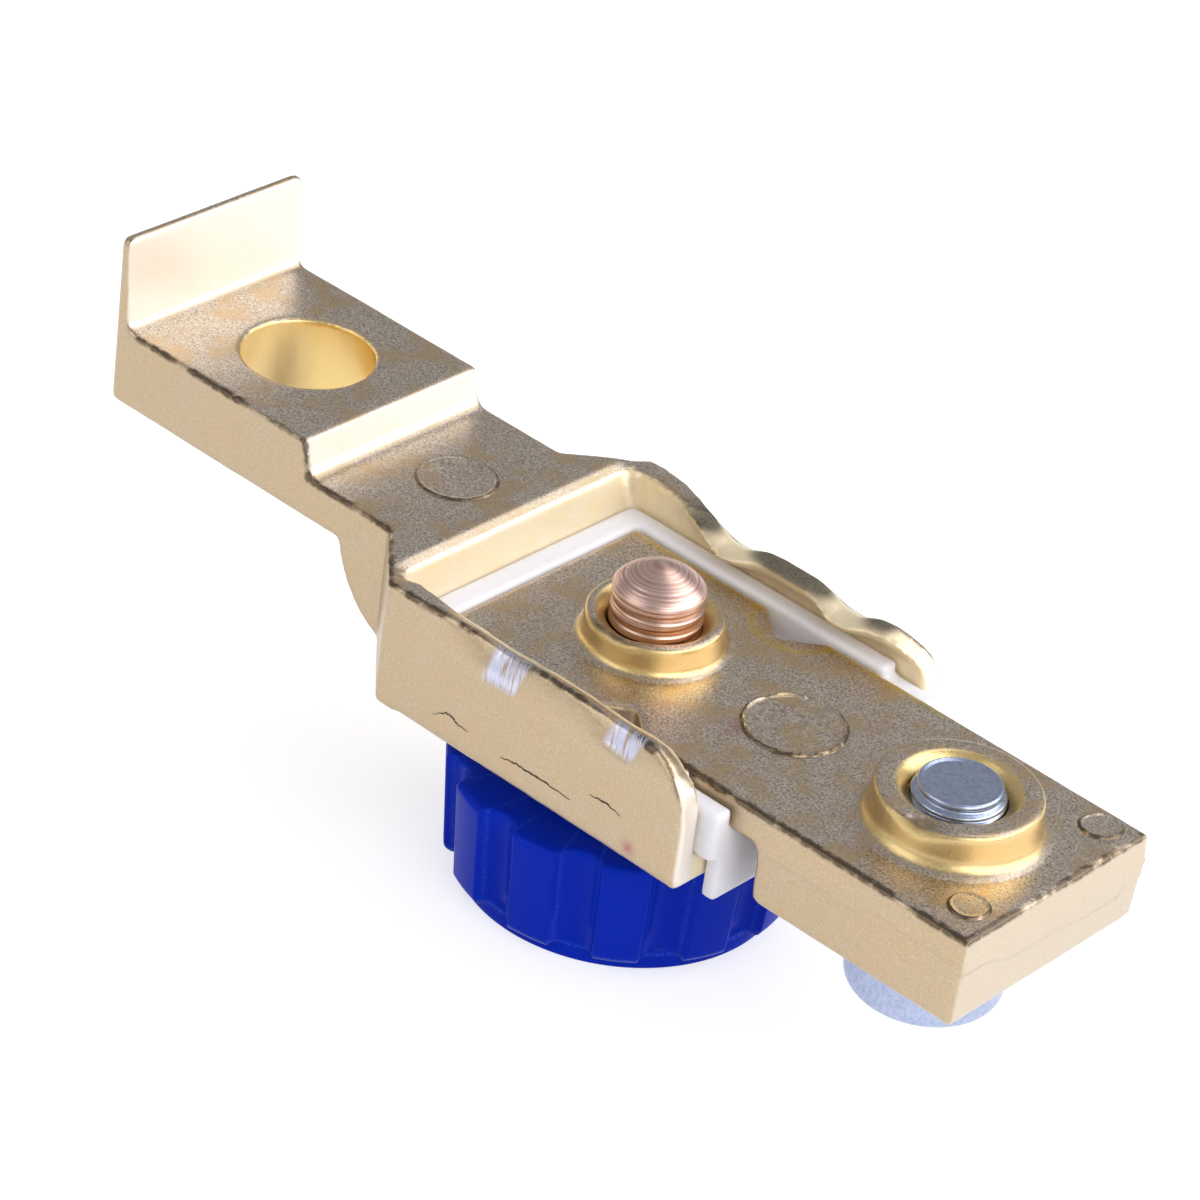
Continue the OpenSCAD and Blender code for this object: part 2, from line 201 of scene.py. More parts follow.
def linear(hexColour):
    rgb = [int(hexColour[i:i + 2], 16) / 255 for i in (0, 2, 4)]
    return [c / 12.92 if c <= 0.04045 else ((c + 0.055) / 1.055) ** 2.4 for c in rgb] + [1.0]


def addNode(tree, kind, inputs=None, **settings):
    # one node with its settings; an input is a value or another node's output
    node = tree.nodes.new(kind)
    for key, value in settings.items():
        if key == "stops":
            while len(node.color_ramp.elements) < len(value):
                node.color_ramp.elements.new(0.5)
            for element, (place, colour) in zip(node.color_ramp.elements, value):
                element.position = place
                element.color = colour
        else:
            setattr(node, key, value)
    for key, value in (inputs or {}).items():
        if isinstance(value, bpy.types.NodeSocket):
            tree.links.new(value, node.inputs[key])
        else:
            node.inputs[key].default_value = value
    return node


def newMaterial(name):
    material = bpy.data.materials.new(name)
    material.use_nodes = True
    tree = material.node_tree
    tree.nodes.clear()
    shader = addNode(tree, "ShaderNodeBsdfPrincipled")
    addNode(tree, "ShaderNodeOutputMaterial", {"Surface": shader.outputs["BSDF"]})
    coords = addNode(tree, "ShaderNodeTexCoord")
    # object coordinates turned into millimetres
    inMm = addNode(tree, "ShaderNodeMapping", {"Vector": coords.outputs["Object"], "Scale": (1000, 1000, 1000)})
    return material, tree, shader, coords, inMm.outputs["Vector"]


def grey(v):
    return [v, v, v, 1]


def mixed(tree, factor, a, b, how="MIX"):
    node = addNode(tree, "ShaderNodeMix", data_type="RGBA", blend_type=how)
    for index, value in ((0, factor), (6, a), (7, b)):
        if isinstance(value, bpy.types.NodeSocket):
            tree.links.new(value, node.inputs[index])
        else:
            node.inputs[index].default_value = value
    return node.outputs[2]


def ramp(tree, factor, stops):
    return addNode(tree, "ShaderNodeValToRGB", {"Fac": factor}, stops=stops).outputs["Color"]


def times(tree, a, b, operation="MULTIPLY"):
    return addNode(tree, "ShaderNodeMath", {0: a, 1: b}, operation=operation).outputs[0]


castLook = {
    "skin": "cdbeb8",        # painted reflection: upper faces greyed where they mirror a dim room
    "skinDark": "81736a",
    "skinLight": "f2e6d2",
    "side": "c3b39b",        # side faces
    "sideWarm": "c9ae86",
    "pale": "f3ebdf",        # painted highlight: faces towards the free end, where the key light falls, matte and least yellow
    "cream": "f4e3bf",       # painted reflected light on the pocket's walls
    "reflectedGold": "f0d28c",        # painted reflected light: hollows and boss walls yellower, brass mirrored in brass
    "lime": "dcc24e",        # the bright line inside the staked edge and along the plate
    "scrape": "d6d8ee",      # bare zinc where a tool scraped
    "edgeDark": "54463a",    # ragged cast edge
    "landDark": "34302c",    # upper edge of the rear wall
    "stain": "a8566a",
    "grainMm": 0.20,
    "patchMm": 3.2,
}


def platedCasting(look):
    # zinc alloy, pressure die cast and thinly brass plated: satin champagne sides, a mottle over a painted
    # reflection of a dim room on upper faces, a painted highlight on end faces, painted reflected light in the
    # pocket and the yellow hollows, and rough dark flash along the parting edges
    material, tree, shader, coords, place = newMaterial("platedZincDieCasting")

    def noise(cell, detail, rough, vector=place):
        return addNode(tree, "ShaderNodeTexNoise", {"Vector": vector, "Scale": 1 / cell, "Detail": detail,
                                                    "Roughness": rough}).outputs["Fac"]

    def painted(name):
        return addNode(tree, "ShaderNodeAttribute", attribute_name=name).outputs["Fac"]

    grain = noise(look["grainMm"], 3.0, 0.65)
    patch = noise(look["patchMm"], 5.0, 0.6)
    fine = noise(0.11, 2.0, 0.5)
    normal = addNode(tree, "ShaderNodeSeparateXYZ", {"Vector": coords.outputs["Normal"]})
    upward = addNode(tree, "ShaderNodeMapRange",
                     {"Value": normal.outputs["Z"], "From Min": 0.75, "From Max": 0.98}).outputs["Result"]
    endward = addNode(tree, "ShaderNodeMapRange",
                      {"Value": normal.outputs["X"], "From Min": 0.55, "From Max": 0.9}).outputs["Result"]
    # painted highlight mask: faces towards the free end, where the key light falls
    pale = times(tree, endward, painted("pale"))
    cream = painted("cream")
    # upper faces: random mottle over a painted reflection of a dim room
    skin = mixed(tree, ramp(tree, grain, [(0.34, grey(0)), (0.66, grey(1))]),
                 linear(look["skinDark"]), linear(look["skinLight"]))
    skin = mixed(tree, 0.30, skin, linear(look["skin"]))
    skin = mixed(tree, ramp(tree, patch, [(0.48, grey(0)), (0.62, grey(0.7))]), skin, linear(look["sideWarm"]))
    side = mixed(tree, patch, linear(look["side"]), linear(look["sideWarm"]))
    side = mixed(tree, ramp(tree, fine, [(0.42, grey(0.22)), (0.60, grey(0))]), side, linear(look["skinDark"]))
    side = mixed(tree, ramp(tree, grain, [(0.52, grey(0)), (0.70, grey(0.25))]), side, linear(look["skinLight"]))
    # upward faces take the painted reflection, the others the side colour
    colour = mixed(tree, upward, side, skin)
    colour = mixed(tree, pale, colour, linear(look["pale"]))
    # painted reflected light: the pocket's walls made cream, broken by the patch noise
    colour = mixed(tree, times(tree, cream, ramp(tree, patch, [(0.35, grey(1)), (0.75, grey(0.55))])),
                   colour, linear(look["cream"]))
    # painted reflected light: hollows and boss walls turned yellow
    colour = mixed(tree, painted("hollow"), colour, linear(look["reflectedGold"]))
    ragged = noise(0.75, 3.0, 0.55)
    colour = mixed(tree, times(tree, painted("lime"), ramp(tree, grain, [(0.30, grey(0.3)), (0.55, grey(1))])),
                   colour, linear(look["lime"]))
    colour = mixed(tree, times(tree, painted("land"), ramp(tree, fine, [(0.30, grey(0.75)), (0.75, grey(1))])),
                   colour, linear(look["landDark"]))
    # the band's border lies where the painted distance and the ragged noise together pass a level
    band = ramp(tree, times(tree, painted("flash"), ragged), [(0.14, grey(0)), (0.36, grey(0.85))])
    colour = mixed(tree, band, colour, linear(look["edgeDark"]))
    scrape = painted("scrape")
    # streaks that run down the wall, a little slanted: u = x + 0.2 z, stretched twelve times along z
    axes = addNode(tree, "ShaderNodeSeparateXYZ", {"Vector": place})
    across = times(tree, axes.outputs["X"], times(tree, axes.outputs["Z"], 0.2), "ADD")
    streakPlace = addNode(tree, "ShaderNodeCombineXYZ", {"X": across, "Z": times(tree, axes.outputs["Z"], 0.08)})
    streak = noise(0.28, 2.0, 0.6, streakPlace.outputs["Vector"])
    colour = mixed(tree, times(tree, scrape, ramp(tree, streak, [(0.40, grey(0)), (0.50, grey(1))])),
                   colour, linear(look["scrape"]))
    colour = mixed(tree, times(tree, scrape, ramp(tree, streak, [(0.30, grey(0.9)), (0.38, grey(0))])),
                   colour, linear(look["skinDark"]))
    colour = mixed(tree, times(tree, painted("stain"), ramp(tree, fine, [(0.35, grey(0.2)), (0.60, grey(1))])),
                   colour, linear(look["stain"]))
    tree.links.new(colour, shader.inputs["Base Color"])
    matte = times(tree, times(tree, pale, cream, "MAXIMUM"), 0.62)
    tree.links.new(times(tree, 1.0, matte, "SUBTRACT"), shader.inputs["Metallic"])
    rough = addNode(tree, "ShaderNodeMapRange",
                    {"Value": grain, "From Min": 0.3, "From Max": 0.7, "To Min": 0.27, "To Max": 0.42})
    tree.links.new(times(tree, rough.outputs["Result"], times(tree, painted("land"), 0.3), "ADD"),
                   shader.inputs["Roughness"])
    height = times(tree, times(tree, grain, 0.7), times(tree, patch, 0.6), "ADD")
    height = times(tree, height, times(tree, streak, scrape), "ADD")
    bump = addNode(tree, "ShaderNodeBump", {"Height": height, "Strength": 0.4, "Distance": 0.00005})
    tree.links.new(bump.outputs["Normal"], shader.inputs["Normal"])
    return material


nylonLook = {"colour": "f6f6fc", "shade": "eceaf6", "speckMm": 0.5}


def mouldedNylon(look):
    # natural polyamide, injection moulded: milky white, a little light goes in, soft satin gloss
    material, tree, shader, coords, place = newMaterial("naturalMouldedNylon")
    patch = addNode(tree, "ShaderNodeTexNoise", {"Vector": place, "Scale": 1 / look["speckMm"], "Detail": 3.0})
    colour = mixed(tree, patch.outputs["Fac"], linear(look["colour"]), linear(look["shade"]))
    tree.links.new(colour, shader.inputs["Base Color"])
    shader.inputs["Roughness"].default_value = 0.38
    shader.inputs["IOR"].default_value = 1.53
    shader.inputs["Subsurface Weight"].default_value = 0.25
    shader.inputs["Subsurface Radius"].default_value = (0.0015, 0.0015, 0.0018)
    shader.inputs["Subsurface Scale"].default_value = 1.0
    bump = addNode(tree, "ShaderNodeBump", {"Height": patch.outputs["Fac"], "Strength": 0.15, "Distance": 0.00004})
    tree.links.new(bump.outputs["Normal"], shader.inputs["Normal"])
    return material


copperLook = {"colour": "eacbc0", "dark": "b68f84", "ringMm": 0.16}


def turnedCopper(look):
    # bare copper, turned on a lathe: pinkish, fine concentric tool marks that spread the highlights
    material, tree, shader, coords, place = newMaterial("turnedCopper")
    ring = addNode(tree, "ShaderNodeTexNoise", noise_dimensions="1D", inputs={
        "W": addNode(tree, "ShaderNodeSeparateXYZ", {"Vector": place}).outputs["Z"],
        "Scale": 1 / look["ringMm"], "Detail": 3.0, "Roughness": 0.6})
    patch = addNode(tree, "ShaderNodeTexNoise", {"Vector": place, "Scale": 0.9, "Detail": 4.0})
    colour = mixed(tree, ramp(tree, ring.outputs["Fac"], [(0.35, grey(0)), (0.7, grey(1))]),
                   linear(look["dark"]), linear(look["colour"]))
    colour = mixed(tree, times(tree, patch.outputs["Fac"], 0.6), colour, linear(look["colour"]))
    tree.links.new(colour, shader.inputs["Base Color"])
    shader.inputs["Metallic"].default_value = 1.0
    shader.inputs["Roughness"].default_value = 0.32
    bump = addNode(tree, "ShaderNodeBump", {"Height": ring.outputs["Fac"], "Strength": 0.5, "Distance": 0.00005})
    tree.links.new(bump.outputs["Normal"], shader.inputs["Normal"])
    return material


steelLook = {"colour": "b4bed8", "shade": "9ca8c8", "pittedMm": 0.35}


def zincPlatedSteel(look):
    # steel with a bright bluish zinc coat: cool, fairly smooth, small dull specks
    material, tree, shader, coords, place = newMaterial("blueZincPlatedSteel")
    speck = addNode(tree, "ShaderNodeTexNoise",
                    {"Vector": place, "Scale": 1 / look["pittedMm"], "Detail": 4.0, "Roughness": 0.65})
    colour = mixed(tree, ramp(tree, speck.outputs["Fac"], [(0.35, grey(0)), (0.6, grey(1))]),
                   linear(look["shade"]), linear(look["colour"]))
    tree.links.new(colour, shader.inputs["Base Color"])
    shader.inputs["Metallic"].default_value = 1.0
    shader.inputs["Roughness"].default_value = 0.28
    bump = addNode(tree, "ShaderNodeBump", {"Height": speck.outputs["Fac"], "Strength": 0.3, "Distance": 0.00005})
    tree.links.new(bump.outputs["Normal"], shader.inputs["Normal"])
    return material


# line: lighter blue for the parting line's flash and for a painted highlight on the flute crests
knobLook = {"colour": "072dc0", "line": "2f5ee0", "waveMm": 2.2}


def mouldedBlue(look):
    # ABS, injection moulded in a polished tool: deep blue, glossy, faintly uneven
    material, tree, shader, coords, place = newMaterial("glossyMouldedAbs")
    patch = addNode(tree, "ShaderNodeTexNoise", {"Vector": place, "Scale": 1 / look["waveMm"], "Detail": 2.0})
    fine = addNode(tree, "ShaderNodeTexNoise", {"Vector": place, "Scale": 6.0, "Detail": 2.0})
    # lighter blue: real flash on the moulded parting line, and a painted highlight along the flute crests
    flash = addNode(tree, "ShaderNodeAttribute", attribute_name="flash")
    flashAndCrestHighlight = times(tree, flash.outputs["Fac"],
                   ramp(tree, fine.outputs["Fac"], [(0.40, grey(0)), (0.62, grey(0.9))]))
    colour = mixed(tree, flashAndCrestHighlight, linear(look["colour"]), linear(look["line"]))
    tree.links.new(colour, shader.inputs["Base Color"])
    shader.inputs["Roughness"].default_value = 0.24
    shader.inputs["IOR"].default_value = 1.54
    shader.inputs["Specular IOR Level"].default_value = 0.05
    bump = addNode(tree, "ShaderNodeBump", {"Height": patch.outputs["Fac"], "Strength": 0.2, "Distance": 0.0001})
    tree.links.new(bump.outputs["Normal"], shader.inputs["Normal"])
    return material


casting = platedCasting(castLook)
nylon = mouldedNylon(nylonLook)
copper = turnedCopper(copperLook)
steel = zincPlatedSteel(steelLook)
blue = mouldedBlue(knobLook)
print("materials made")


def dress(piece, material, body, slot, *nodes):
    piece.data.materials.clear()
    piece.data.materials.append(material)
    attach(piece, body)
    if nodes:
        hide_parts(*nodes)


leftDims = {"voxel": 0.33, "halfWidth": 10.4, "stepX": 23.7, "stepZ": -3.4, "flareX": 34.2, "trayX": 39.95,
            "trayHalf": 16.15, "endX": 73.5, "flashMm": 0.13, "waveMm": 0.03, "frontTurn": 0.50, "rearTurn": 0.22, "stakeTurn": 0.10}
h = leftDims["halfWidth"]
# the parting edge: flange, block, step, neck, flare and front wall
leftFlash = [[[3.0, -h, 0], [leftDims["stepX"], -h, 0], [24.6, -h, -3.4], [34.2, -h, -3.4], [39.95, -16.1, -3.4],
              [44.0, -16.0, -3.4], [50.0, -15.3, -3.5], [66.0, -15.2, -3.5], [69.0, -15.4, -4.1]]]
# bare metal where the staking tool ran down the front wall: x and z of each corner, y of the wall
frontScrapes = [[(51.8, -2.6), (55.6, -2.6), (54.7, -6.6), (51.2, -6.8)],
                [(64.9, -2.6), (68.6, -2.6), (67.3, -6.1), (64.3, -5.8)]]
frontCracks = [[(46.4, -13.0), (47.7, -12.1), (48.5, -12.0), (49.0, -12.4), (50.4, -12.5)],
               [(54.2, -12.9), (55.8, -12.6), (56.9, -12.6), (59.2, -12.6), (62.0, -12.7)],
               [(63.9, -11.1), (65.5, -10.9), (67.3, -11.2)]]


def insideQuad(x, z, corners, soft):
    # 1 inside the four-sided outline, fading to 0 over soft mm beyond it
    corners = np.asarray(corners, float)
    centre = corners.mean(0)
    reach = np.full(len(x), 1e9)
    for a, b in zip(corners, np.roll(corners, -1, axis=0)):
        normal = np.array([b[1] - a[1], a[0] - b[0]])
        normal /= np.linalg.norm(normal)
        if normal @ (centre - a) < 0:
            normal = -normal
        reach = np.minimum(reach, (x - a[0]) * normal[0] + (z - a[1]) * normal[1])
    return smooth(reach / soft + 0.5)


def castSurface(piece, points, flashLines, size):
    # cast waviness everywhere, ragged flash near the parting edges, both along the normals
    normals = vertexArray(piece.data, "normal")
    near = np.full(len(points), 1e9)
    for line in flashLines:
        near = np.minimum(near, lineDistance(points, line))
    # the flash comes and goes along the edge
    here = smooth(1.0 + 0.7 * valueNoise(points, 3.0, 5) + 0.4 * valueNoise(points, 1.1, 6))
    flash = here * np.exp(-(near / 0.50) ** 2)
    rough = valueNoise(points, 0.7, 3) + 0.6 * valueNoise(points, 0.4, 4)
    move = size["waveMm"] * (valueNoise(points, 4.0, 1) + 0.5 * valueNoise(points, 1.3, 2))
    move += size["flashMm"] * flash * (rough - 0.15)
    setAttribute(piece, "flash", flash)
    return move, normals


left, points, edges = newSkin("left_terminal_bar", "leftBarCasting", leftDims["voxel"], 3)


def localSoft(points, edges, weight, rounds):
    # extra rounding where the weight is above 0
    return points + weight[:, None] * (relaxed(points, edges, rounds) - points)


x, y, z = points.T
# the pocket's inner corners are filleted, and so is the upper edge of its end wall
corner = np.exp(-(np.hypot(x - 39.9, np.abs(y) - 13.9) / 1.3) ** 2) * (z < -3.0) * (z > -8)
corner = np.maximum(corner, np.exp(-(np.hypot(x - 39.0, z + 3.4) / 0.7) ** 2) * (np.abs(y) < 14.2))
points = localSoft(points, edges, corner, 40)
# a wall that is pressed inwards turns as it bends, so the inner side of its upper edge sinks
x, y, z = points.T
size = leftDims
inWall = smooth((x - 41.5) / 6) * smooth((74.6 - x) / 1.0) * (np.abs(y) > 10.5)
stake = np.exp(-((x - 52.35) / 2.6) ** 2) + np.exp(-((x - 65.05) / 2.6) ** 2)
inward = np.clip(16.15 - np.where(y < 0, 0.8, 2.1) * smooth((z + 6.8) / 3.4) ** 1.5 - np.abs(y), 0, 3)
turn = np.where(y < 0, size["frontTurn"], size["rearTurn"]) + size["stakeTurn"] * stake
points = points - np.stack([0 * x, 0 * y, inWall * smooth((z + 6.9) / 2.6) * turn * inward], -1)
move, normals = castSurface(left, points, leftFlash, leftDims)
x, y, z = points.T
front = smooth((-y - 12.0) / 1.5)
scrape = np.zeros(len(points))
for corners in frontScrapes:
    scrape = np.maximum(scrape, insideQuad(x, z, corners, 0.5))
scrape *= front * smooth((-normals[:, 1] - 0.2) / 0.4)
move -= 0.15 * scrape
setAttribute(left, "scrape", scrape)
inTray = (x > 40.0) & (x < 74) & (np.abs(y) < 14.2) & (z < -3.7)
inHole = np.hypot(x - 13.4, y) < 5.95
# painted reflected light inside the flange's hole
setAttribute(left, "hollow", np.where(inHole, 0.9, 0.0))
# painted reflected light over the pocket's walls and its end wall
setAttribute(left, "cream", np.where(inTray | ((x > 39.2) & (x < 41.5) & (np.abs(y) < 14.2)), 1.0, 0.0))
# the painted highlight may fall on every end-facing face of this bar
setAttribute(left, "pale", np.ones(len(points)))
# the rear wall's dark upper edge, and the yellow line where it was pressed over the nylon
rearTop = smooth((y - 11.0) / 0.6) * smooth((z + 4.6) / 0.5) * smooth((x - 44.0) / 5) * smooth((71.5 - x) / 2.5)
land = rearTop * smooth((normals[:, 2] - 0.30) / 0.25)
lime = rearTop * np.exp(-((normals[:, 2] - 0.05) / 0.28) ** 2) * (normals[:, 1] < 0.3)
setAttribute(left, "land", land)
setAttribute(left, "lime", lime)
setAttribute(left, "stain", np.exp(-(np.hypot(x - 68.5, z + 13.7) / 0.6) ** 2) * front)
setPoints(left, points + normals * move[:, None])
dress(left, casting, "bars", "plated_casting", "left_terminal_bar")


def crackRibbon(name, line, width=0.10):
    # a thin jagged line just proud of the front wall, from a few corners in x and z
    line = np.asarray(line, float)
    t = np.linspace(0, len(line) - 1, 60)
    spine = np.stack([np.interp(t, range(len(line)), line[:, 0]), np.interp(t, range(len(line)), line[:, 1])], -1)
    jag = np.stack([valueNoise(np.stack([t * 9, 0 * t, 0 * t + k], -1), 1.0, 51) for k in (0, 5)], -1)
    spine = spine + 0.09 * jag
    half = width * (0.35 + 0.65 * np.sin(pi * t / t[-1]))[:, None] * (0.8 + 0.4 * jag[:, :1])
    grid = np.stack([np.stack([spine[:, 0], 0 * t - 16.185, spine[:, 1] + side * half[:, 0]], -1)
                     for side in (-1, 1)], 1)
    piece = gridPiece(name, grid, closedU=False)
    piece.data.materials.clear()
    for other in ("hollow", "scrape", "lime", "stain", "pale", "cream", "flash"):
        setAttribute(piece, other, np.zeros(len(piece.data.vertices)))
    setAttribute(piece, "land", np.ones(len(piece.data.vertices)))
    dress(piece, casting, "bars", "plated_casting")


for number, line in enumerate(frontCracks):
    crackRibbon("coldShut" + "ABC"[number], line)
print("left bar", len(left.data.polygons), "faces")

rightDims = {"voxel": 0.26, "half": 11.3, "plateX": 43.0, "endX": 77.8, "tailX": 98.9, "topZ": -7.2,
             "flashMm": 0.07, "waveMm": 0.025}
rightFlash = [[[98.5, -11.2, -7.2], [98.5, 11.0, -7.2]], [[66, -11.4, -7.2], [98.3, -11.4, -7.2]]]
right, points, edges = newSkin("right_terminal_bar", "rightBarCasting", rightDims["voxel"], 3)
move, normals = castSurface(right, points, rightFlash, rightDims)
x, y, z = points.T
for name in ("scrape", "cream"):
    setAttribute(right, name, np.zeros(len(points)))
# a weaker painted highlight on the block's free end
setAttribute(right, "pale", np.where(x > 97.5, 0.3, 0.0))
stain = np.exp(-(np.hypot(x - 68.3, (y + 3.8) * 0.8) / 0.9) ** 2) * (z > -7.6)
setAttribute(right, "stain", 0.7 * stain)
rim = smooth((y - 10.3) / 0.8) + smooth(1 - np.abs(np.hypot(x - 61.5, y - 11.6) - 4.1) / 0.7) * (y > 7)
setAttribute(right, "lime", 0.6 * rim * (z > -8.4) * (x < 78))
# parting lip along the block's sides and across its end
sideLip = np.exp(-((z + 9.95 - 0.02 * (x - 88)) / 0.22) ** 2) * smooth((x - 77) / 2) * (np.abs(y) > 11.4)
lipLine = -10.2 - 1.4 * smooth((y + 9.5) / 5.5) - 0.5 * smooth((y - 1) / 4) + 0.9 * smooth((y - 8.2) / 1.4)
endLip = np.exp(-((z - lipLine) / 0.2) ** 2) * (x > 98.3)
move += 0.09 * sideLip + 0.12 * endLip - 0.10 * (z < lipLine) * (x > 98.3)
ringR = np.hypot(x - screwX, y)
boltR = np.hypot(x - boltX, y)
barrel = (((ringR < 7.2) & (z > -6.9)) | ((boltR < 8.3) & (z > -6.9))) & (normals[:, 2] < 0.75)
inBore = (ringR < 5.2) | (boltR < 5.2)
# painted reflected light in the bores and on the bosses' walls
setAttribute(right, "hollow", np.where(inBore, 0.7, np.where(barrel, 0.65, 0.0)))
# nicks in the bosses' rims, rough and dark
nicked = np.zeros(len(points))
for centre, radius, angle, top, width in ((screwX, 5.6, -82, -4.4, 1.5), (screwX, 5.5, -108, -4.4, 1.2),
                                          (boltX, 6.6, -78, -3.9, 1.9)):
    a = radians(angle)
    nick = np.exp(-((x - centre - radius * cos(a)) ** 2 + (y - radius * sin(a)) ** 2) / width ** 2
                  - ((z - top) / 0.55) ** 2)
    move -= 0.30 * nick * (1 + 0.6 * valueNoise(points, 0.6, 9))
    nicked = np.maximum(nicked, nick * smooth(1.2 + 1.5 * valueNoise(points, 0.5, 10)))
setAttribute(right, "land", 0.8 * nicked)
setPoints(right, points + normals * move[:, None])
dress(right, casting, "bars", "plated_casting", "right_terminal_bar")
print("right bar", len(right.data.polygons), "faces")

# ejector discs left by the mould
discDims = [
    {"name": "neckDisc", "centre": (32.0, 0.0, -3.4), "radius": 3.4, "rim": 0.10, "ragged": 0.5, "seed": 21},
    {"name": "plateDisc", "centre": (71.0, 0.0, -7.2), "radius": 4.27, "rim": 0.16, "ragged": 1.0, "seed": 22},
    {"name": "endMarkFront", "centre": (95.7, -7.7, -7.2), "radius": 1.55, "rim": 0.05, "ragged": 0.5, "seed": 23,
     "pad": 0.13},
    {"name": "endMarkRear", "centre": (95.6, 9.2, -7.2), "radius": 1.6, "rim": 0.06, "ragged": 1.0, "seed": 24,
     "pad": 0.12},
]


def ejectorDisc(size):
    # a shallow disc: radius r from 0 to beyond the rim, height pad inside, a ragged ridge
    # rim * exp(-((r - R)/w)^2) on the edge, and sunk below the face outside it
    radii = np.concatenate([np.linspace(0.02, size["radius"] - 0.6, 26),
                            np.linspace(size["radius"] - 0.55, size["radius"] + 0.5, 24)])
    turn = np.linspace(0, 2 * pi, 180, endpoint=False)
    r, a = np.meshgrid(radii, turn, indexing="ij")
    cx, cy, cz = size["centre"]
    rimPlace = np.stack([cx + size["radius"] * np.cos(a), cy + size["radius"] * np.sin(a), 0 * a], -1).reshape(-1, 3)
    wobble = valueNoise(rimPlace, 1.1, size["seed"]).reshape(r.shape)
    jag = valueNoise(rimPlace, 0.45, size["seed"] + 10).reshape(r.shape)
    edge = size["radius"] + 0.10 * size["ragged"] * wobble
    lift = size["rim"] * (1 + 0.9 * size["ragged"] * jag) * np.exp(-((r - edge) / 0.20) ** 2)
    pad = size.get("pad", 0.03)
    level = pad * (1 - smooth((r - edge) / 0.3)) - 0.16 * smooth((r - edge - 0.10) / 0.35) + 0.02
    flat = np.stack([cx + r * np.cos(a), cy + r * np.sin(a), cz + 0 * a], -1)
    level += 0.02 * valueNoise(flat.reshape(-1, 3), 0.8, size["seed"] + 20).reshape(r.shape)
    flat[..., 2] += level + lift
    piece = gridPiece(size["name"], flat, poleStart=True)
    count = len(piece.data.vertices)
    values = np.append(np.exp(-((r - edge - 0.15) / 0.22) ** 2).ravel(), 0)[:count]
    setAttribute(piece, "flash", values * 0.8)
    for other in ("hollow", "scrape", "land", "lime", "stain", "pale", "cream"):
        setAttribute(piece, other, np.zeros(count))
    dress(piece, casting, "bars", "plated_casting")
    return piece


for size in discDims:
    ejectorDisc(size)
print("ejector discs made")

nylonDims = {"voxel": 0.33}
tray, points, edges = newSkin("insulator_tray", "nylonTray", nylonDims["voxel"], 2)
normals = vertexArray(tray.data, "normal")
setPoints(tray, points + normals * (0.02 * valueNoise(points, 2.5, 31))[:, None])
dress(tray, nylon, "bars", "nylon", "insulator_tray")
print("nylon tray", len(tray.data.polygons), "faces")


def hexRadius(a, acrossFlats):
    # distance from the centre to a hexagon's side at angle a
    return acrossFlats / 2 / np.cos((a + pi / 6) % (pi / 3) - pi / 6)


def threadCut(a, z, top, pitch):
    # right-hand thread: 0 on the crest, 1 in the root, by the height left over after whole pitches
    turnOver = ((z - top) / pitch - a / (2 * pi)) % 1.0
    return smooth(np.abs(turnOver * 2 - 1) * 1.5 - 0.25)


screwDims = {"radius": 3.94, "tip": screwBox[1][2] - 1.9, "cone": 1.9, "pitch": 1.25, "depth": 0.11, "collarZ": knobBox[1][2], "collarT": 2.2,
             "collarR": 7.5, "headAf": 13, "headT": 5.5, "cover": 1.0, "columns": 200}


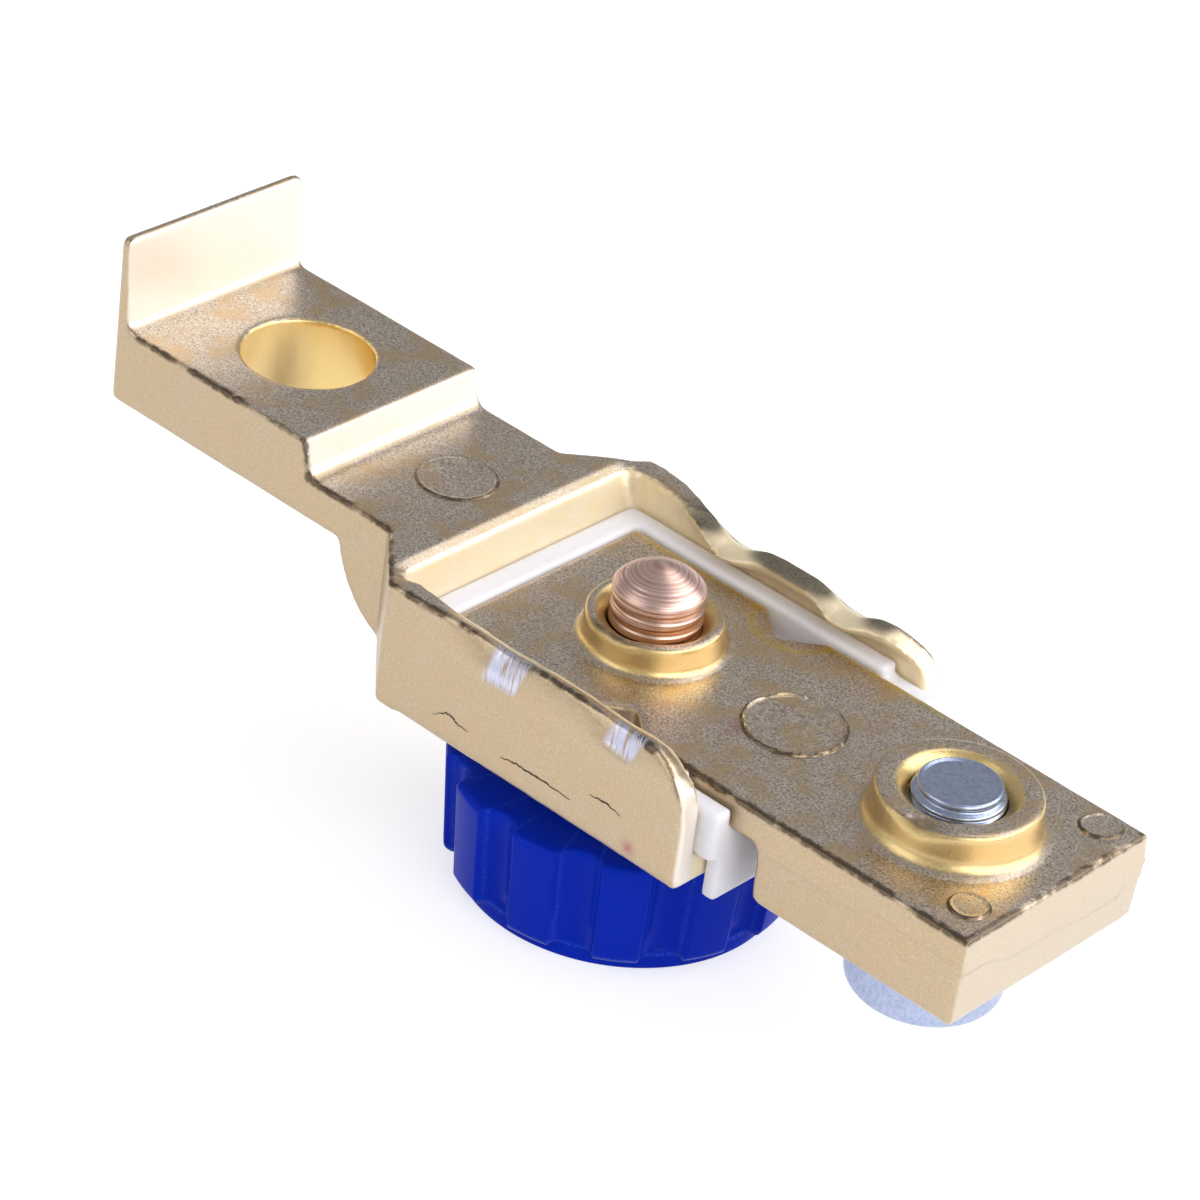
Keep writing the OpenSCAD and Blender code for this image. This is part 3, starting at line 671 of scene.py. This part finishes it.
def contactScrew(size):
    # profile from the cone's tip down the threaded shank to the collar and the hexagon head
    tip, R = size["tip"], size["radius"]
    # a blunt cone: height = cone * (1 - (r / R)^p)^q, which rounds both the tip and the shoulder
    coneR = R * np.sin(np.linspace(0.004, pi / 2, 74))
    share = coneR / R
    coneZ = tip - 0.35 + (size["cone"] + 0.35) * (1 - share ** 1.55) ** 0.80
    shankZ = np.arange(tip - 0.40, -14.7, -0.05)
    collar = size["collarZ"] + size["collarT"]
    below = [(R, -14.9), (R, collar), (size["collarR"] - 0.25, collar), (size["collarR"] - 0.05, collar - 0.07),
             (size["collarR"], collar - 0.25), (size["collarR"], size["collarZ"] + 0.05),
             (size["collarR"] - 0.05, size["collarZ"]), (R, size["collarZ"]), (R, size["collarZ"] - size["cover"])]
    r0 = np.concatenate([coneR, np.full(len(shankZ), R), [p[0] for p in below]])
    z0 = np.concatenate([coneZ, shankZ, [p[1] for p in below]])
    headZ = size["collarZ"] - size["cover"]

    def radiusAt(a):
        z = z0[:, None] + 0 * a
        fade = smooth((tip - 0.2 - z) / 0.9) * smooth((z + 14.5) / 1.0)
        cut = threadCut(a, z, tip, size["pitch"])
        # fine uneven turning rings along the profile
        along = np.where(z > tip - 0.35, r0[:, None], R + tip - 0.35 - z)
        ring = sum(high * np.sin(2 * pi * along / pitch + pitch * 40)
                   for high, pitch in ((0.010, 0.43), (0.008, 0.31), (0.009, 0.67)))
        ring = ring * smooth((z + 14.5) / 1.0) * smooth(r0[:, None] - 0.3)
        r = r0[:, None] - size["depth"] * fade * cut + ring
        around = np.stack([3 * np.cos(a), 3 * np.sin(a), z], -1).reshape(-1, 3)
        r = r + 0.02 * valueNoise(around, 1.5, 41).reshape(a.shape) * smooth(r / 2)
        head = np.stack([hexRadius(a[0], size["headAf"])] * 2)
        r = np.vstack([r, head, 0.02 * np.ones((1, a.shape[1]))])
        z = np.vstack([z, np.full((1, a.shape[1]), headZ), np.full((2, a.shape[1]), headZ - size["headT"])])
        return r, z

    turn = np.linspace(0, 2 * pi, size["columns"], endpoint=False)
    a = turn[None, :] + 0 * z0[:, None]
    r, z = radiusAt(a)
    # the rows run from the top down, so the angle is turned about to face the surface outwards
    aAll = -np.vstack([a, a[:3]])
    rFlip, zFlip = radiusAt(-a)
    grid = np.stack([screwX + rFlip * np.cos(aAll), rFlip * np.sin(aAll), zFlip], -1)
    return gridPiece("contactScrewTurned", grid, poleStart=True, poleEnd=True)


screw = contactScrew(screwDims)
dress(screw, copper, "knob", "copper", "contact_screw")

boltDims = {"radius": 3.9, "seatZ": rightBox[0][2], "length": 12.6, "headR": 6.6, "headH": 7.5, "edge": 1.3, "discR": 3.2,
            "pitch": 1.25, "depth": 0.5, "socketAf": 6, "socketDeep": 4.5, "columns": 180}


def terminalBolt(size):
    # dished end, rounded ring, groove, thread, head with a rounded lower edge and a hexagon socket
    top = size["seatZ"] + size["length"]
    R, headR, edge = size["radius"], size["headR"], size["edge"]
    endR = np.concatenate([np.linspace(0.02, size["discR"] - 0.1, 14), size["discR"] + 0.28 * np.sin(np.linspace(0, pi / 2, 7))])
    endZ = np.concatenate([np.full(14, top - 0.14), top - 0.28 * (1 - np.cos(np.linspace(0, pi / 2, 7)))])
    neckR = np.array([3.46, 3.36, 3.34, 3.42, 3.62, 3.80, 3.88])
    neckZ = top - np.array([0.42, 0.55, 0.66, 0.76, 0.84, 0.93, 1.05])
    shankZ = np.arange(top - 1.1, size["seatZ"] + 0.3, -0.08)
    bend = np.linspace(0, pi / 2, 9)
    bottom = size["seatZ"] - size["headH"]
    headRs = np.concatenate([[R, headR - 0.3, headR - 0.08, headR], headR - edge + edge * np.cos(bend)])
    headZs = np.concatenate([[size["seatZ"], size["seatZ"], size["seatZ"] - 0.08, size["seatZ"] - 0.3],
                             bottom + edge - edge * np.sin(bend)])
    r0 = np.concatenate([endR, neckR, np.full(len(shankZ), R), headRs])
    z0 = np.concatenate([endZ, neckZ, shankZ, headZs])
    turn = -np.linspace(0, 2 * pi, size["columns"], endpoint=False)
    a = turn[None, :] + 0 * z0[:, None]
    z = z0[:, None] + 0 * a
    fade = smooth((top - 1.0 - z) / 0.5) * smooth((z - size["seatZ"] - 0.8) / 0.8)
    r = r0[:, None] - size["depth"] * fade * threadCut(a, z, top - 1.1, size["pitch"])
    hexR = hexRadius(a[0], size["socketAf"])[None, :]
    deep = bottom + size["socketDeep"]
    r = np.vstack([r, hexR + 0.15, hexR, hexR, 0.02 + 0 * hexR])
    z = np.vstack([z, bottom + 0 * hexR, bottom + 0.15 + 0 * hexR, deep + 0 * hexR, deep + 0 * hexR])
    a = np.vstack([a, a[:4]])
    return gridPiece("terminalBoltPlated", np.stack([boltX + r * np.cos(a), r * np.sin(a), z], -1),
                     poleStart=True, poleEnd=True)


bolt = terminalBolt(boltDims)
dress(bolt, steel, "bars", "zinc_plated_steel", "terminal_bolt")

washerDims = {"inner": 4.0, "outer": 9.8, "lowZ": washerBox[0][2], "thick": 2.0, "edge": 0.3, "columns": 160}


def contactWasher(size):
    # closed ring: flat faces, rounded outer edges, carried once round
    bend = np.linspace(0, pi / 2, 6)
    e, low, high = size["edge"], size["lowZ"], size["lowZ"] + size["thick"]
    r0 = np.concatenate([[size["inner"], size["inner"]], size["outer"] - e + e * np.sin(bend),
                         size["outer"] - e + e * np.cos(bend), [size["inner"]]])
    z0 = np.concatenate([[low + 0.1, low], low + e - e * np.cos(bend), high - e + e * np.sin(bend), [high]])
    r0, z0 = np.append(r0, r0[0]), np.append(z0, z0[0])
    a = np.linspace(0, 2 * pi, size["columns"], endpoint=False)[None, :] + 0 * r0[:, None]
    piece = gridPiece("contactWasherPunched", np.stack([screwX + r0[:, None] * np.cos(a), r0[:, None] * np.sin(a),
                                                        z0[:, None] + 0 * a], -1))
    work = bmesh.new()
    work.from_mesh(piece.data)
    bmesh.ops.remove_doubles(work, verts=work.verts, dist=1e-7)
    bmesh.ops.recalc_face_normals(work, faces=work.faces)
    work.to_mesh(piece.data)
    work.free()
    return piece


washer = contactWasher(washerDims)
dress(washer, copper, "washer", "copper", "contact_washer")
print("screw, bolt and washer made")

knobDims = {"radius": 15.9, "height": 11.25, "lowZ": knobBox[0][2], "draft": 0.85, "flutes": 12, "phase": 0.87, "depth": 1.4,
            "fluteR": 2.3, "footR": 14.1, "footH": 1.0, "lowRound": 0.9, "topRound": 0.5, "columns": 720}


def flutedKnob(size):
    # wall radius: a drafted cone, less the round flutes, with the crests softened by a smooth minimum
    turn = np.linspace(0, 2 * pi, size["columns"], endpoint=False)
    step = 2 * pi / size["flutes"]
    off = (turn - size["phase"] * step + step / 2) % step - step / 2

    def wall(z):
        ridge = size["radius"] - size["draft"] * (1 - z / size["height"])
        centre = ridge - size["depth"] + size["fluteR"]
        side = np.clip(size["fluteR"] ** 2 - (centre * np.sin(off)) ** 2, 0, None)
        flute = np.where(side > 0, centre * np.cos(off) - np.sqrt(side), ridge + 3)
        gap = np.clip((flute - ridge) / 0.22, -1, 1)
        blend = 0.5 + 0.5 * gap
        return flute * (1 - blend) + ridge * blend - 0.22 * 0.5 * blend * (1 - blend)

    h, lo, hi, foot = size["height"], size["lowRound"], size["topRound"], size["footR"]
    rows, heights, rim = [], [], []

    def addRow(radius, z, line=0.0):
        rows.append(radius + 0 * turn)
        heights.append(z + 0 * turn)
        rim.append(line + 0 * turn)

    for radius in np.linspace(0.02, foot - 3.2, 8):
        addRow(radius, 0.5)
    addRow(foot - 3.15, 0.45)
    addRow(foot - 2.75, 0.03)
    for radius in np.linspace(foot - 2.65, foot - 0.3, 6):
        addRow(radius, 0.0)
    for bend in np.linspace(0.15, pi / 2, 5):
        addRow(foot - 0.3 + 0.3 * sin(bend), 0.3 - 0.3 * cos(bend))
    for z in np.linspace(0.4, size["footH"] - 0.05, 4):
        addRow(foot, z)
    for z in size["footH"] + lo * (1 - np.cos(np.linspace(0.12, pi / 2, 10))):
        inset = lo - np.sqrt(max(lo ** 2 - (size["footH"] + lo - z) ** 2, 0))
        addRow(np.maximum(wall(z) - inset, foot - 0.02), z, float(np.exp(-((z - 1.55) / 0.16) ** 2)))
    for z in np.linspace(size["footH"] + lo + 0.15, h - hi, 26):
        addRow(wall(z), z)
    for bend in np.linspace(0.2, pi / 2, 7):
        addRow(wall(h - hi) - hi * (1 - cos(bend)), h - hi + hi * sin(bend))
    for share in np.linspace(0.93, 0.01, 8):
        addRow((wall(h - hi) - hi) * share, h)
    r, z, line = np.array(rows), np.array(heights) + size["lowZ"], np.array(rim)
    a = turn[None, :] + 0 * r
    piece = gridPiece("knobMoulded", np.stack([screwX + r * np.cos(a), r * np.sin(a), z], -1),
                      poleStart=True, poleEnd=True)
    # painted highlight: thin lighter lines along both edges of every flute
    crestHighlight = np.exp(-((np.abs(off) - 0.108) / 0.008) ** 2)[None, :] * smooth((z - size["lowZ"] - 1.6) / 0.5)
    setAttribute(piece, "flash", np.append(np.maximum(line, 0.6 * crestHighlight).ravel(), [0, 0]))
    return piece


knob = flutedKnob(knobDims)
dress(knob, blue, "knob", "blue_plastic", "knob")
print("knob", len(knob.data.polygons), "faces")

studio = {"floor": "d2d2d4", "glow": 0.62, "worldGrey": 0.42, "keyWatts": 6.4, "fillWatts": 1.4, "backWatts": 1.3}

half = 3.0
floorMesh = bpy.data.meshes.new("paleFloor")
floorMesh.from_pydata([(-half, -half, 0), (half, -half, 0), (half, half, 0), (-half, half, 0)], [], [(0, 1, 2, 3)])
floor = bpy.data.objects.new("paleFloor", floorMesh)
bpy.context.scene.collection.objects.link(floor)
floorMaterial, tree, shader, coords, place = newMaterial("matPaperSweep")
# the paper shows almost white to the camera and in reflections, and keeps the object's shadow
shader.inputs["Base Color"].default_value = linear(studio["floor"])
shader.inputs["Roughness"].default_value = 0.9
path = addNode(tree, "ShaderNodeLightPath")
seen = times(tree, path.outputs["Is Camera Ray"], path.outputs["Is Glossy Ray"], "MAXIMUM")
seen = times(tree, seen, path.outputs["Is Transmission Ray"], "MAXIMUM")
glow = addNode(tree, "ShaderNodeEmission", {"Color": grey(1), "Strength": studio["glow"]})
dark = addNode(tree, "ShaderNodeEmission", {"Color": grey(0), "Strength": 0.0})
pick = addNode(tree, "ShaderNodeMixShader", {0: seen, 1: dark.outputs[0], 2: glow.outputs[0]})
both = addNode(tree, "ShaderNodeAddShader", {0: shader.outputs["BSDF"], 1: pick.outputs[0]})
output = [node for node in tree.nodes if node.type == "OUTPUT_MATERIAL"][0]
tree.links.new(both.outputs[0], output.inputs["Surface"])
floorMesh.materials.append(floorMaterial)


def softLamp(name, place, aim, size, watts):
    lamp = bpy.data.lights.new(name, "AREA")
    lamp.shape = "RECTANGLE"
    lamp.size, lamp.size_y = size
    lamp.energy = watts
    holder = bpy.data.objects.new(name, lamp)
    bpy.context.scene.collection.objects.link(holder)
    holder.location = place
    holder.rotation_euler = (Vector(aim) - Vector(place)).to_track_quat("-Z", "Y").to_euler()
    return holder


softLamp("keySoftbox", (0.567, 0.152, 0.381), (0, 0, 0.02), (1.5, 0.5), studio["keyWatts"])
softLamp("frontFill", (-0.25, -0.70, 0.45), (0, 0, 0.02), (0.6, 0.6), studio["fillWatts"])
softLamp("topBack", (0.15, 0.45, 0.75), (0, 0, 0.02), (0.5, 0.5), studio["backWatts"])

world = bpy.data.worlds.new("studioWorld")
bpy.context.scene.world = world
world.use_nodes = True
# the room is grey for the object and white behind the paper's edge
room = world.node_tree
behind = addNode(room, "ShaderNodeLightPath").outputs["Is Camera Ray"]
roomColour = mixed(room, behind, grey(studio["worldGrey"]), grey(1))
room.links.new(roomColour, room.nodes["Background"].inputs["Color"])
room.nodes["Background"].inputs["Strength"].default_value = 1.0

view = {"azimuth": 38.647, "elevation": 32.668, "roll": 8.057, "distance": 375.5,
        "target": (55.69 + startX, -8.06, topZ), "lens": 139.62}
az, el, ro = (radians(view[key]) for key in ("azimuth", "elevation", "roll"))
back = Vector((sin(az) * cos(el), -cos(az) * cos(el), sin(el)))
acrossView = Vector((0, 0, 1)).cross(back).normalized()
upView = back.cross(acrossView)
rightView = cos(ro) * acrossView + sin(ro) * upView
topView = -sin(ro) * acrossView + cos(ro) * upView
camera = bpy.data.objects.new("productCamera", bpy.data.cameras.new("productCamera"))
bpy.context.scene.collection.objects.link(camera)
camera.data.sensor_width = 36
camera.data.lens = view["lens"]
camera.data.clip_start = 0.01
camera.data.clip_end = 20
turnTo = Matrix((rightView, topView, back)).transposed().to_4x4()
camera.matrix_world = Matrix.Translation((Vector(view["target"]) + back * view["distance"]) * mm) @ turnTo
bpy.context.scene.camera = camera
bpy.context.scene.view_settings.view_transform = "Standard"
print("studio made")

bpy.context.view_layer.update()
